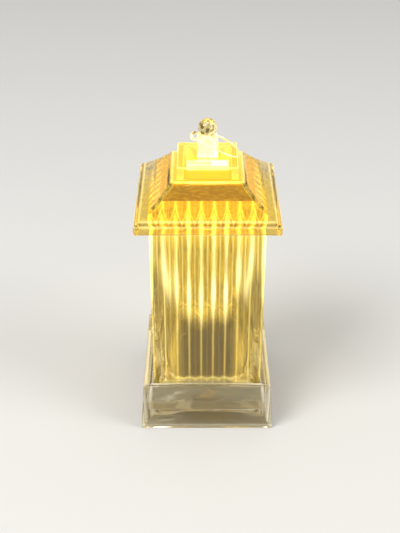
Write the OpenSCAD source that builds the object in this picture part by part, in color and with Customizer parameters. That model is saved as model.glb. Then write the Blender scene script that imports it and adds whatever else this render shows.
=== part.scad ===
// Battery lantern in clear moulded plastic: a square fluted body that stands in a
// low base, and a lift-off pagoda roof that carries the light module and the finial.
// Millimetres, +Z up, origin at the middle of the base's underside, front towards -Y.

/* [Base] */
// Width of the base at the table
base_w = 53.4; // [50:0.1:58]
// Width of the base at its rim
base_rim_w = 50.8; // [49:0.1:56]
// Height of the base rim
base_h = 20.9; // [14:0.1:30]
// Height of the upright band at the foot of the base
base_band_h = 1.7; // [1:0.1:3]
// Thickness of the base wall at the rim
base_wall = 2.0; // [1.2:0.1:2.6]
// Height of the shelf that the body stands on
shelf_z = 7.8; // [7:0.1:12]
// Thickness of the shelf
shelf_t = 2.2; // [1.5:0.1:2.6]
// Width of the hollow under the base at its mouth
hollow_mouth_w = 50.0; // [44:0.1:50.6]
// Width of the hollow under the base at its roof
hollow_top_w = 41.0; // [30:0.1:43]
// Height of the boss that centres the body on the shelf
boss_h = 2.5; // [1:0.1:4]

/* [Body] */
// Outside width of the fluted body
body_w = 43.0; // [42:0.1:45]
// Height of the body from the shelf to its mouth
body_h = 91.5; // [80:0.5:120]
// Width of the chamber inside the body
chamber_w = 38.4; // [36:0.1:39.4]
// Radius of the chamber's upright corners
chamber_r = 8.5; // [4:0.1:12]
// Radius of the fillet round the chamber floor
chamber_fillet = 4.0; // [1:0.1:6]
// Clearance between the body's mouth and the light module
mouth_gap = 0.5; // [0.3:0.1:0.7]
// Height of the straight neck below the mouth
mouth_neck_h = 1.0; // [0.6:0.1:2]
// Height over which the chamber narrows to its neck
mouth_slope_h = 4.0; // [3.6:0.1:6]
// Thickness of the solid floor of the body
body_floor_t = 4.7; // [2:0.1:8]
// Height of the recess under the body floor
recess_h = 5.5; // [4.5:0.1:8]
// Width of the recess under the body floor
recess_w = 39.7; // [36:0.1:40.5]
// Width of one flute
flute_pitch = 4.68; // [3.9:0.01:4.9]
// Number of flutes on each side
flute_count = 8; // [4:1:8]
// Depth of the flutes
flute_depth = 1.1; // [0.6:0.05:1.3]
// Height above the shelf where the flutes reach their full depth
flute_start = 14.2; // [12:0.1:24]
// Height over which the flutes run out
flute_runout = 3.0; // [1:0.1:6]

/* [Roof] */
// Width of the roof at the eaves
roof_w = 54.0; // [53:0.1:58]
// Height of the upright band at the eaves
fascia_h = 3.0; // [2:0.1:4]
// Drop of the eaves below the body's mouth
eaves_drop = 8.3; // [8:0.1:9]
// Height of the curved slope
slope_h = 11.8; // [11.8:0.1:14]
// How far in the slope's curve is pulled at its middle
curve_in = 7.5; // [7:0.1:8]
// How far up the slope's curve is pulled at its middle
curve_up = 4.8; // [4.6:0.1:5.2]
// Thickness of the roof's skin
roof_wall = 2.0; // [1.6:0.1:2.2]
// Radius of the eaves' upright corners
eaves_r = 1.2; // [0.5:0.1:3]
// Thickness of the upright band at the eaves
eaves_wall = 1.8; // [1.4:0.1:2.2]
// Width of the flat step at the top of the slope
tier_w = 27.0; // [26.6:0.1:28]
// Thickness of the flat step
tier_t = 1.8; // [1:0.1:2]
// Width of the square block on the step
block_w = 22.5; // [22.2:0.1:24]
// Height of the square block
block_h = 4.7; // [4.5:0.1:7]
// Thickness of the block's top
block_t = 1.2; // [0.8:0.1:1.6]
// Length of the slot for the switch knob
slot_l = 15.0; // [14.4:0.1:16]
// Width of the slot for the switch knob
slot_w = 4.2; // [4:0.1:4.4]
// Distance of the slot's middle in front of the roof's middle
slot_off = 7.5; // [7.3:0.1:7.7]

/* [Finial] */
// Width of the finial's neck
neck_w = 7.7; // [6:0.1:9]
// Depth of the finial's neck from front to back
neck_d = 5.0; // [3:0.1:6]
// Height of the eye's middle above the block
eye_h = 6.8; // [5.8:0.1:9]
// How far the neck's round top runs up into the ball
neck_blend = 2.15; // [1.5:0.05:3]
// Radius of the spigot under the neck
spigot_r = 1.6; // [1:0.1:2]
// Diameter of the eye
eye_d = 2.4; // [2.2:0.1:2.8]
// Diameter of the ball
ball_d = 7.0; // [5:0.1:7.2]
// Height of the ball's middle above the eye's middle
ball_up = 4.1; // [4:0.1:6]
// Radius of the small side loop
loop_r = 1.4; // [1:0.1:2]
// Diameter of the side loop's bar
loop_bar = 0.9; // [0.6:0.1:1.2]

/* [Hanging ring] */
// Outside diameter of the hanging ring
ring_d = 14.2; // [13:0.1:14.4]
// Diameter of the ring's wire
ring_wire = 0.7; // [0.5:0.05:0.9]
// Slope of the ring where it lies against the block
ring_tilt = 28; // [24:0.5:28]

/* [Light module] */
// Width of the module case
case_w = 27.4; // [27:0.1:27.6]
// Thickness of the case's walls
case_wall = 1.0; // [0.8:0.1:1]
// Depth of the case below the body's mouth
case_drop = 9.1; // [9.1:0.1:12]
// Thickness of the walls of the case's sloping head
head_wall = 1.2; // [0.8:0.1:1.4]
// Width of the ribs that hold the contacts
rib_t = 0.9; // [0.6:0.1:1]
// Height of the ribs that hold the contacts
rib_h = 9.4; // [8:0.1:10]
// Width of the case's top turret
turret_w = 17.1; // [16.8:0.1:17.4]
// Depth of the turret from front to back
turret_d = 20.4; // [20.3:0.1:20.4]
// Thickness of the turret's walls
turret_wall = 0.8; // [0.6:0.1:0.8]
// Thickness of the plate that closes the case
plate_t = 1.4; // [1.4:0.1:2]
// Clearance round the module inside the roof
module_gap = 0.2; // [0.1:0.05:0.3]

/* [Battery door] */
// Width of the battery door
door_w = 20.4; // [18:0.1:20.6]
// Width of the door's hinge barrel
barrel_w = 12.0; // [6:0.1:14]
// Radius of the hinge barrels
barrel_r = 1.0; // [0.9:0.05:1.05]
// Radius of the hinge pin
pin_r = 0.5; // [0.4:0.05:0.6]
// Running clearance between the pin and the door
pin_gap = 0.05; // [0.03:0.01:0.08]
// Width of the lip that opens the door
lip_w = 6.0; // [4:0.5:10]
// Depth of the lip that opens the door
lip_d = 0.8; // [0.6:0.1:1.2]
// Height of the lip that opens the door
lip_h = 0.6; // [0.4:0.1:1]
// Clearance round the door
door_gap = 0.2; // [0.15:0.05:0.3]

/* [Cells] */
// Diameter of a button cell
cell_d = 11.6; // [11:0.1:11.6]
// Height of a button cell
cell_h = 5.4; // [5:0.1:5.4]
// Number of button cells in the row
cell_count = 3; // [3:1:3]
// Distance of the row of cells behind the middle
cell_y = 5.4; // [5.3:0.1:5.5]
// Length of the contact spring
spring_l = 2.0; // [1.8:0.1:2.2]
// Thickness of the contact plates
contact_t = 0.4; // [0.3:0.05:0.5]
// Diameter of the module's wires
wire_d = 1.0; // [0.8:0.1:1]

/* [Lamp and switch] */
// Diameter of the lamp's lens
lamp_d = 5.0; // [4:0.1:5]
// Distance of the lamp in front of the middle
lamp_off = 5.4; // [5.2:0.1:5.6]
// Thickness of the circuit board
board_t = 1.0; // [0.8:0.1:1.2]
// Clearance round the circuit board inside the case's head
board_side = 0.55; // [0.3:0.05:0.8]
// Clearance between the circuit board and the roof of the case
board_gap = 0.6; // [0.3:0.1:0.8]
// Height of the bezel above the plate
bezel_h = 3.2; // [2.6:0.1:3.4]
// Length of the slide switch
switch_l = 13.0; // [12.6:0.1:13.4]
// Width of the slide switch
switch_w = 3.6; // [3.2:0.1:3.6]
// Travel of the switch knob from on to off
knob_travel = 8.4; // [6:0.1:8.6]
// Length of the knob's cap
knob_l = 5.6; // [4:0.1:5.6]
// How far the knob's cap stands proud of the roof
knob_proud = 0.5; // [0.3:0.1:1]
// Length of the knob's stem
stem_l = 3.0; // [2:0.1:4]
// Width of the knob's stem
stem_w = 1.5; // [1:0.1:1.6]
// Depth of the channel that the stem slides in
channel_h = 3.0; // [2:0.1:4]

/* [Hidden] */
$fn = 64;

// Sliver that lets cuts run past the faces that they open
cut = 0.5;
// Clearance of parts that drop into one another
fit_gap = 0.25;
// Clearance of pins and screws that are pressed into plastic
tight_gap = 0.02;
// Clearance of round parts that pass through a plate
loose_gap = 0.1;
// Clearance between the roof's slope and the body's shoulder
shoulder_gap = 0.35;
// How far an outline runs on past the solid that it trims
margin = 1.0;
// Width of the mouth that the light module hangs in
mouth_w = case_w + 2 * mouth_gap;

// Heights of the seats, from the table up
body_top_z = shelf_z + body_h;
eaves_z = body_top_z - eaves_drop;
slope_z = eaves_z + fascia_h;
tier_z = slope_z + slope_h;
block_z = tier_z + block_h;
eye_z = block_z + eye_h;
ball_z = eye_z + ball_up;
neck_r = neck_w / 2;
neck_shoulder_z = ball_z - ball_d / 2 - neck_r + neck_blend;

// Heights inside the light module
turret_top_z = block_z - block_t - module_gap;
step_top_z = tier_z - tier_t - module_gap;
case_z = body_top_z - case_drop;
plate_z = case_z - plate_t;
board_z = step_top_z - case_wall - board_gap - board_t;

// The row of cells lies along X
cell_r = cell_d / 2;
cell_z = case_z + door_gap + cell_r;
row_l = cell_count * cell_h;
row_x0 = -row_l / 2;
row_x1 = row_l / 2;
spring_plate_x = row_x1 + spring_l;
contact_w = 7.6;
cell_cap_l = 1.2;
cell_cap_in = 1.0;
contact_front_y = -1.0;

// The battery door turns about a pin at the back of the module
hinge_y = case_w / 2 - barrel_r - 2 * door_gap;
hinge_z = plate_z + plate_t - barrel_r - loose_gap;
door_front_y = 0;
door_t = plate_t - loose_gap;
pin_l = door_w - 2 * door_gap;

// The lamp hangs from the board through the bezel
lamp_r = lamp_d / 2;
lamp_rim_step = 0.4;
lamp_rim_r = lamp_r + lamp_rim_step;
lamp_rim_t = 1.0;
bezel_wall = 1.3;
bezel_step = 0.8;
bezel_bore_r = lamp_r + loose_gap;
bezel_r = bezel_bore_r + bezel_wall;
bezel_flange_r = bezel_r + bezel_step;
bezel_flange_t = 0.8;
bezel_flare = 1.0;
bezel_flare_h = 1.8;
bezel_top_z = plate_z + bezel_h;
lamp_rim_z = bezel_top_z;
lamp_len = 5.1;
lead_r = 0.25;
lead_off = 1.27;

// The screws that close the case stand in its two front corners
screw_boss_r = 2.4;
screw_x = case_w / 2 - case_wall - screw_boss_r + loose_gap;
screw_r = 0.75;
screw_head_r = 1.4;
screw_head_t = 0.9;
screw_l = 5.2;
screw_short = 0.4;
cross_l = 1.7;
cross_w = 0.4;
cross_h = 0.45;

// The slide switch stands on the board, and its knob goes up through the roof's slot
knob_x = knob_travel / 2;
stem_gap = 0.2;
switch_z = board_z + board_t;
switch_top_z = turret_top_z - turret_wall - module_gap;
stem_z = switch_top_z - channel_h;

// Half width and height at a share t of the roof's curved slope, moved in by d
function bend(a, b, c, t) = (1 - t) * (1 - t) * a + 2 * t * (1 - t) * b + t * t * c;
function bend_step(a, b, c, t) = 2 * (1 - t) * (b - a) + 2 * t * (c - b);
function slope_point(t, d) =
    let (p = [roof_w / 2, slope_z],
         q = [roof_w / 2 - curve_in, slope_z + curve_up],
         r = [tier_w / 2, tier_z],
         s = bend_step(p, q, r, t))
    bend(p, q, r, t) + d * [-s[1], s[0]] / norm(s);
slope_steps = 8;
function slope_points(d) = [for (i = [0 : slope_steps]) slope_point(i / slope_steps, d)];

// The circuit board fits inside the sloping head at the height of its upper face
board_back_y = -0.8;
head_line = [for (p = slope_points(roof_wall + module_gap + head_wall)) [p[1], p[0]]];
board_w = 2 * (min(lookup(board_z + board_t, head_line), case_w / 2 - case_wall) - board_side);

// Solid whose four sides follow one outline of [half width, height] points
module square_tower(points, depth) {
    outline = concat(points, [for (i = [len(points) - 1 : -1 : 0]) [-points[i][0], points[i][1]]]);
    intersection() {
        rotate([90, 0, 0])
            translate([0, 0, -depth / 2])
                linear_extrude(depth)
                    polygon(outline);
        rotate([0, 0, 90])
            rotate([90, 0, 0])
                translate([0, 0, -depth / 2])
                    linear_extrude(depth)
                        polygon(outline);
    }
}

// Square block on the axis, from one height to another
module square_block(w, z0, z1) {
    translate([-w / 2, -w / 2, z0])
        cube([w, w, z1 - z0]);
}

// Upright square post with round corners
module round_post(w, r, z0, z1) {
    translate([0, 0, z0])
        linear_extrude(z1 - z0)
            union() {
                square([w - 2 * r, w], center = true);
                square([w, w - 2 * r], center = true);
                for (x = [-1, 1])
                    for (y = [-1, 1])
                        translate([x * (w / 2 - r), y * (w / 2 - r)])
                            circle(r);
            }
}

module base_tray() {
    color([0.92, 0.92, 0.9, 0.45])
        difference() {
            union() {
                difference() {
                    square_tower([[base_w / 2, 0], [base_w / 2, base_band_h], [base_rim_w / 2, base_h]],
                                 base_w + 2 * margin);
                    square_block(base_rim_w - 2 * base_wall, shelf_z, base_h + cut);
                }
                square_block(recess_w - 2 * fit_gap, shelf_z - cut, shelf_z + boss_h);
            }
            square_tower([[hollow_mouth_w / 2, -cut], [hollow_mouth_w / 2, base_band_h],
                          [hollow_top_w / 2, shelf_z - shelf_t]], hollow_mouth_w + 2 * margin);
        }
}

// Places of the flutes' middles along one side
flute_xs = [for (i = [0 : flute_count - 1]) (i - (flute_count - 1) / 2) * flute_pitch];

// Outline of the fluted post: a square whose four sides are folded into grooves
function side_points() =
    let (h = body_w / 2, p = flute_pitch / 2)
    concat([[-h, -h]],
           [for (x = flute_xs) each [[x - p, -h], [x, -h + flute_depth]]],
           [[flute_xs[flute_count - 1] + p, -h]]);
function turned(p, k) = [p[0] * cos(90 * k) - p[1] * sin(90 * k), p[0] * sin(90 * k) + p[1] * cos(90 * k)];
fluted_outline = [for (k = [0 : 3]) each [for (p = side_points()) turned(p, k)]];

// Groove that follows the body's shoulder up to a point at the mouth
groove_low = 0.28;
groove_high = 0.64;
groove_open = 3.0;
module shoulder_groove() {
    rise = flute_depth - fit_gap / 2;
    deep = slope_point(groove_low, roof_wall + shoulder_gap + rise);
    high = slope_point(groove_high, roof_wall + shoulder_gap);
    run = high - deep;
    lean = atan2(-run[0], run[1]);
    spread = groove_open * flute_pitch / 2 / flute_depth;
    translate([0, -high[0], high[1]])
        rotate([-lean, 0, 0])
            translate([0, 0, -norm(run) - margin])
                linear_extrude(norm(run) + 2 * margin)
                    polygon([[0, 0], [spread, -groove_open], [-spread, -groove_open]]);
}

module fluted_body() {
    floor_z = shelf_z + recess_h + body_floor_t;
    start_z = shelf_z + flute_start;
    half = body_w / 2;
    under_roof = [for (p = slope_points(roof_wall + shoulder_gap)) if (p[0] < half + margin) p];
    side_line = [[half + margin, shelf_z], [half + margin, under_roof[0][1]]];
    f = chamber_fillet;
    floor_curve = [for (a = [0 : 15 : 90]) [chamber_w / 2 - f + f * sin(a), floor_z + f - f * cos(a)]];
    mouth_curve = [[chamber_w / 2, body_top_z - mouth_neck_h - mouth_slope_h],
                   [mouth_w / 2, body_top_z - mouth_neck_h],
                   [mouth_w / 2, body_top_z + cut]];
    color([0.95, 0.9, 0.7, 0.45])
        difference() {
            intersection() {
                union() {
                    translate([0, 0, start_z - flute_runout])
                        linear_extrude(body_h)
                            polygon(fluted_outline);
                    square_tower([[half, shelf_z], [half, start_z - flute_runout],
                                  [half - flute_depth - fit_gap, start_z]], body_w + 2 * margin);
                }
                square_tower(concat(side_line, under_roof), body_w + 2 * margin);
                square_block(body_w + 2 * margin, shelf_z, body_top_z);
            }
            for (k = [0 : 3])
                rotate([0, 0, 90 * k])
                    for (x = flute_xs)
                        translate([x, 0, 0])
                            shoulder_groove();
            intersection() {
                round_post(chamber_w, chamber_r, floor_z, body_top_z + cut);
                square_tower(concat(floor_curve, mouth_curve), chamber_w + 2 * margin);
            }
            square_block(recess_w, shelf_z - cut, shelf_z + recess_h);
        }
}

module roof_cover() {
    inside = concat([[roof_w / 2, eaves_z - cut]], slope_points(roof_wall));
    color([0.95, 0.85, 0.5, 0.45])
        difference() {
            union() {
                intersection() {
                    square_tower(concat([[roof_w / 2, eaves_z]], slope_points(0)), roof_w + 2 * margin);
                    round_post(roof_w, eaves_r, eaves_z, tier_z);
                }
                square_block(block_w, tier_z - cut, block_z);
            }
            intersection() {
                square_tower(inside, roof_w + 2 * margin);
                square_block(roof_w - 2 * eaves_wall, eaves_z - cut, tier_z - tier_t);
            }
            translate([-turret_w / 2 - module_gap, -turret_d / 2 - module_gap, body_top_z])
                cube([turret_w + 2 * module_gap, turret_d + 2 * module_gap, block_z - block_t - body_top_z]);
            translate([-slot_l / 2, -slot_off - slot_w / 2, block_z - block_t - cut])
                cube([slot_l, slot_w, block_t + 2 * cut]);
            cylinder(r = spigot_r + fit_gap / 5, h = block_z + cut);
        }
}

module finial() {
    color([0.95, 0.85, 0.5, 0.5])
        difference() {
            union() {
                translate([-neck_w / 2, -neck_d / 2, block_z])
                    cube([neck_w, neck_d, neck_shoulder_z - block_z]);
                translate([0, neck_d / 2, neck_shoulder_z])
                    rotate([90, 0, 0])
                        cylinder(r = neck_r, h = neck_d);
                translate([0, 0, ball_z])
                    sphere(d = ball_d);
                translate([0, 0, block_z - block_t + fit_gap / 2])
                    cylinder(r = spigot_r, h = block_t);
                translate([-neck_r - loop_r / 2, 0, eye_z + loop_r / 2])
                    rotate([90, 0, 0])
                        rotate_extrude()
                            translate([loop_r, 0])
                                circle(d = loop_bar, $fn = 24);
            }
            translate([0, neck_d, eye_z])
                rotate([90, 0, 0])
                    cylinder(d = eye_d, h = 2 * neck_d);
        }
}

module hanging_ring() {
    ring_r = (ring_d - ring_wire) / 2;
    color("silver")
        translate([ring_r * cos(ring_tilt), 0, eye_z - ring_r * sin(ring_tilt)])
            rotate([0, ring_tilt, 0])
                rotate_extrude()
                    translate([ring_r, 0])
                        circle(d = ring_wire, $fn = 24);
}

// Box on the axis that needn't be square
module box(w, d, z0, z1) {
    translate([-w / 2, -d / 2, z0])
        cube([w, d, z1 - z0]);
}

// Block under the roof's slope, kept a distance inside it
module roof_core(d, z0, z1) {
    intersection() {
        square_tower(concat([[roof_w / 2, z0 - 1]], slope_points(d)), roof_w + 2 * margin);
        square_block(roof_w, z0, z1);
    }
}

module module_case() {
    inner_w = case_w - 2 * case_wall;
    channel_l = knob_travel + stem_l + 4 * stem_gap;
    channel_w = stem_w + 3 * stem_gap;
    color([1, 0.85, 0.4])
        difference() {
            union() {
                difference() {
                    union() {
                        square_block(case_w, case_z, body_top_z + cut);
                        roof_core(roof_wall + module_gap, body_top_z, step_top_z);
                        box(turret_w, turret_d, body_top_z, turret_top_z);
                    }
                    intersection() {
                        square_block(inner_w, case_z - cut, step_top_z - case_wall);
                        roof_core(roof_wall + module_gap + head_wall, case_z - cut, step_top_z);
                    }
                    box(turret_w - 2 * turret_wall, turret_d - 2 * turret_wall,
                        body_top_z, turret_top_z - turret_wall);
                }
                for (x = [row_x0 - contact_t - rib_t, spring_plate_x + contact_t])
                    translate([x, cell_y - contact_w / 2, case_z])
                        cube([rib_t, inner_w / 2 - cell_y + contact_w / 2 + cut, rib_h]);
                for (x = [-screw_x, screw_x])
                    translate([x, -screw_x, case_z])
                        cylinder(r = screw_boss_r, h = board_z - case_z);
            }
            for (x = [-screw_x, screw_x])
                translate([x, -screw_x, case_z - cut])
                    cylinder(r = screw_r + tight_gap, h = screw_l + cut);
            translate([-channel_l / 2, -slot_off - channel_w / 2, turret_top_z - 2 * turret_wall])
                cube([channel_l, channel_w, 3 * turret_wall]);
        }
}

// One length of hinge barrel about the door's axis
module barrel(x0, x1, r) {
    translate([x0, hinge_y, hinge_z])
        rotate([0, 90, 0])
            cylinder(r = r, h = x1 - x0);
}

module module_plate() {
    open_w = door_w + 2 * door_gap;
    color([1, 0.9, 0.6])
        difference() {
            union() {
                difference() {
                    square_block(case_w, plate_z, case_z);
                    translate([-open_w / 2, door_front_y - door_gap, plate_z - cut])
                        cube([open_w, case_w, plate_t + 2 * cut]);
                }
                barrel(barrel_w / 2 + door_gap, open_w / 2 + cut, barrel_r);
                barrel(-open_w / 2 - cut, -barrel_w / 2 - door_gap, barrel_r);
            }
            barrel(-case_w, case_w, pin_r + tight_gap);
            translate([0, -lamp_off, plate_z - cut])
                cylinder(r = bezel_r + loose_gap, h = plate_t + 2 * cut);
            for (x = [-screw_x, screw_x])
                translate([x, -screw_x, plate_z - cut])
                    cylinder(r = screw_r + loose_gap, h = plate_t + 2 * cut);
        }
}

module battery_door() {
    side_back_y = hinge_y - barrel_r - door_gap;
    color([1, 0.9, 0.6])
        difference() {
            union() {
                translate([-door_w / 2, door_front_y, plate_z])
                    cube([door_w, side_back_y - door_front_y, door_t]);
                translate([-barrel_w / 2, door_front_y, plate_z])
                    cube([barrel_w, hinge_y - door_front_y, door_t]);
                barrel(-barrel_w / 2, barrel_w / 2, barrel_r);
                translate([-lip_w / 2, door_front_y, plate_z - lip_h])
                    cube([lip_w, lip_d, lip_h + door_gap]);
            }
            barrel(-case_w, case_w, pin_r + pin_gap);
        }
}

module door_hinge_pin() {
    color("silver")
        barrel(-pin_l / 2, pin_l / 2, pin_r);
}

module case_screws() {
    color("silver")
        for (x = [-screw_x, screw_x])
            translate([x, -screw_x, plate_z])
                difference() {
                    union() {
                        cylinder(r = screw_r, h = screw_l + plate_t - screw_short);
                        translate([0, 0, -screw_head_t])
                            cylinder(r = screw_head_r, h = screw_head_t);
                    }
                    for (a = [0, 90])
                        rotate([0, 0, a])
                            translate([-cross_l / 2, -cross_w / 2, -screw_head_t - cut])
                                cube([cross_l, cross_w, cut + cross_h]);
                }
}

module circuit_board() {
    color("seagreen")
        difference() {
            translate([-board_w / 2, -board_w / 2, board_z])
                cube([board_w, board_w / 2 + board_back_y, board_t]);
            for (x = [-lead_off, lead_off])
                translate([x, -lamp_off, board_z - cut])
                    cylinder(r = lead_r + tight_gap, h = board_t + 2 * cut, $fn = 24);
        }
}

module lamp() {
    color([1, 0.95, 0.7])
        translate([0, -lamp_off, lamp_rim_z]) {
            cylinder(r = lamp_rim_r, h = lamp_rim_t);
            translate([0, 0, -lamp_len])
                cylinder(r = lamp_r, h = lamp_len + lamp_rim_t / 2);
            translate([0, 0, -lamp_len])
                sphere(r = lamp_r);
            for (x = [-lead_off, lead_off])
                translate([x, 0, 0])
                    cylinder(r = lead_r, h = board_z + board_t / 2 - lamp_rim_z, $fn = 24);
        }
}

module lamp_bezel() {
    color("white")
        translate([0, -lamp_off, 0])
            difference() {
                union() {
                    translate([0, 0, plate_z - bezel_flange_t])
                        cylinder(r = bezel_flange_r, h = bezel_flange_t);
                    translate([0, 0, plate_z - bezel_flange_t])
                        cylinder(r = bezel_r, h = bezel_top_z - plate_z + bezel_flange_t);
                }
                translate([0, 0, plate_z - bezel_flange_t - cut])
                    cylinder(r = bezel_bore_r, h = bezel_h + bezel_flange_t + 2 * cut);
                translate([0, 0, plate_z - bezel_flange_t])
                    cylinder(r1 = bezel_bore_r + bezel_flare, r2 = bezel_bore_r, h = bezel_flare_h);
            }
}

module resistor() {
    body_l = 3.6;
    body_r = 0.8;
    lead_out = 0.5;
    z = board_z - body_r - lead_out;
    color("tan")
        translate([-board_w / 4, -lamp_off, z]) {
            translate([0, body_l / 2, 0])
                rotate([90, 0, 0])
                    cylinder(r = body_r, h = body_l);
            translate([0, body_l / 2 + lead_out, 0])
                rotate([90, 0, 0])
                    cylinder(r = lead_r, h = body_l + 2 * lead_out, $fn = 24);
            for (y = [-1, 1])
                translate([0, y * (body_l / 2 + lead_out - lead_r), 0])
                    cylinder(r = lead_r, h = board_z - z, $fn = 24);
        }
}

module switch_body() {
    channel_l = 2 * knob_x + stem_l + 2 * stem_gap;
    color("dimgray")
        difference() {
            translate([-switch_l / 2, -slot_off - switch_w / 2, switch_z])
                cube([switch_l, switch_w, switch_top_z - switch_z]);
            translate([-channel_l / 2, -slot_off - stem_w / 2 - stem_gap, stem_z - stem_gap])
                cube([channel_l, stem_w + 2 * stem_gap, switch_top_z - stem_z + cut]);
        }
}

module switch_knob() {
    cap_z = turret_top_z + loose_gap;
    cap_w = slot_w - 3 * stem_gap;
    rib_pitch = knob_l / 7;
    groove_w = rib_pitch / 3;
    color("ivory")
        translate([knob_x, -slot_off, 0])
            difference() {
                union() {
                    box(stem_l, stem_w, stem_z, cap_z + cut);
                    box(knob_l, cap_w, cap_z, block_z + knob_proud);
                }
                for (i = [-2 : 2])
                    translate([i * rib_pitch - groove_w / 2, -cap_w, block_z + knob_proud - groove_w])
                        cube([groove_w, 2 * cap_w, margin]);
            }
}

// One button cell: a can with a smaller cap towards -X, where the plus contact is
module button_cell(i) {
    can_l = cell_h - cell_cap_l;
    color("silver")
        translate([row_x0 + i * cell_h, cell_y, cell_z])
            rotate([0, 90, 0]) {
                translate([0, 0, cell_cap_l])
                    cylinder(r = cell_r, h = can_l - tight_gap);
                cylinder(r = cell_r - cell_cap_in, h = cell_h / 2);
            }
}

module contact(x) {
    color("silver")
        translate([x, contact_front_y, cell_z - contact_w / 2])
            cube([contact_t, cell_y + contact_w / 2 - contact_front_y, contact_w]);
}

// Closed tube along points, with flat ends and the given number of sides
module tube(points, r, sides) {
    n = len(points);
    function way(i) =
        let (v = points[min(i + 1, n - 1)] - points[max(i - 1, 0)]) v / norm(v);
    function side_way(i) =
        let (v = cross([1, 0, 0], way(i))) v / norm(v);
    rings = [for (i = [0 : n - 1])
                 let (u = side_way(i), v = cross(way(i), u))
                 for (k = [0 : sides - 1])
                     points[i] + r * (cos(360 * k / sides) * u + sin(360 * k / sides) * v)];
    walls = [for (i = [0 : n - 2])
                 for (k = [0 : sides - 1])
                     let (a = i * sides + k, b = i * sides + (k + 1) % sides)
                     each [[a, b, b + sides], [a, b + sides, a + sides]]];
    caps = [[for (k = [sides - 1 : -1 : 0]) k],
            [for (k = [0 : sides - 1]) (n - 1) * sides + k]];
    polyhedron(points = rings, faces = concat(walls, caps), convexity = 4);
}

// Conical spring, widest on its plate
module cell_spring() {
    turns = 3;
    steps = 8;
    spring_wire = 0.4;
    wide_r = 3.6;
    narrow_r = 1.6;
    run = spring_l - spring_wire - 2 * tight_gap;
    coil = [for (i = [0 : turns * steps])
                let (s = i / (turns * steps), a = 360 * turns * s, r = wide_r + (narrow_r - wide_r) * s)
                [spring_plate_x - spring_wire / 2 - tight_gap - run * s,
                 cell_y + r * cos(a),
                 cell_z + r * sin(a)]];
    color("silver")
        tube(coil, spring_wire / 2, 6);
}

// Wire that drops from the board and runs back to a contact plate
module wire(x) {
    drop_y = contact_front_y - 2 * wire_d;
    turn_z = cell_z + wire_d;
    r = wire_d / 2;
    overlap = 0.7;
    translate([x, drop_y, turn_z])
        cylinder(r = r, h = board_z - turn_z, $fn = 24);
    translate([x, drop_y, turn_z])
        sphere(r = r, $fn = 24);
    translate([x, contact_front_y + overlap, turn_z])
        rotate([90, 0, 0])
            cylinder(r = r, h = contact_front_y + overlap - drop_y, $fn = 24);
}

base_tray();
fluted_body();
roof_cover();
finial();
hanging_ring();
module_case();
module_plate();
battery_door();
door_hinge_pin();
case_screws();
circuit_board();
lamp();
lamp_bezel();
resistor();
switch_body();
switch_knob();
button_cell(0);  // button_cell_1
button_cell(1);  // button_cell_2
button_cell(2);  // button_cell_3
contact(row_x0 - contact_t);  // positive_contact
contact(spring_plate_x);  // negative_contact
cell_spring();
color("red") wire(row_x0 - contact_t - wire_d / 2);  // red_wire
color("black") wire(spring_plate_x - wire_d / 2);  // black_wire
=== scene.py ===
"""Battery lantern in clear moulded plastic, lit amber from the module in its roof."""

import math
import bmesh
import bpy
from bpy.props import FloatProperty, FloatVectorProperty, PointerProperty
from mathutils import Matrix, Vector


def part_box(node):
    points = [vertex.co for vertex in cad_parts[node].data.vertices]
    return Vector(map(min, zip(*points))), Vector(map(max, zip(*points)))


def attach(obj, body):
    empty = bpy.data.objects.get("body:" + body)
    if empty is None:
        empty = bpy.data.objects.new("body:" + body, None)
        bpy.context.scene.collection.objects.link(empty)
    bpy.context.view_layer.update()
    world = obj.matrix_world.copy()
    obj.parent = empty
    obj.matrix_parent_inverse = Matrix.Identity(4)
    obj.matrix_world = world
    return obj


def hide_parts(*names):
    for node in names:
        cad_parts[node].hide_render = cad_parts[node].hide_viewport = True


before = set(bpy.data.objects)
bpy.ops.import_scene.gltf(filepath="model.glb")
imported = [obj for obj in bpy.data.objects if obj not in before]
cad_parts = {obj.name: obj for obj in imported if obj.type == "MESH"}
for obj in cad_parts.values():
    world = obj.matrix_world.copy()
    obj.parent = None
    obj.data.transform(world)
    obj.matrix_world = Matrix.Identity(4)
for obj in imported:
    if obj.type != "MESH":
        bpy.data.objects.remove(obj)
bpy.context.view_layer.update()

bl_info = {
    "name": "Battery Lantern",
    "version": (1, 0, 0),
    "blender": (4, 5, 0),
    "location": "3D View > Sidebar > Lantern",
    "description": "Dresses a clear fluted battery lantern with a glowing light module",
    "category": "Add Mesh",
}

MM = 1000.0
BOX = {name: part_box(name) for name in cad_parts}


def top_of(node):
    """Height of a node's top in millimetres."""
    return BOX[node][1].z * MM


def foot_of(node):
    """Height of a node's underside in millimetres."""
    return BOX[node][0].z * MM


def half_of(node):
    """Half of a node's width in millimetres."""
    return BOX[node][1].x * MM


def colour_property(name, description, default):
    """A colour that the panel shows, in linear light."""
    return FloatVectorProperty(
        name=name, description=description, default=default, subtype="COLOR", size=3, min=0.0, max=1.0
    )


def length_property(name, description, default):
    """A length in metres that the panel shows."""
    return FloatProperty(name=name, description=description, default=default, min=0.0, unit="LENGTH")


def amount_property(name, description, default, most=4.0):
    """A plain number that the panel shows."""
    return FloatProperty(name=name, description=description, default=default, min=0.0, max=most)


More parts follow.
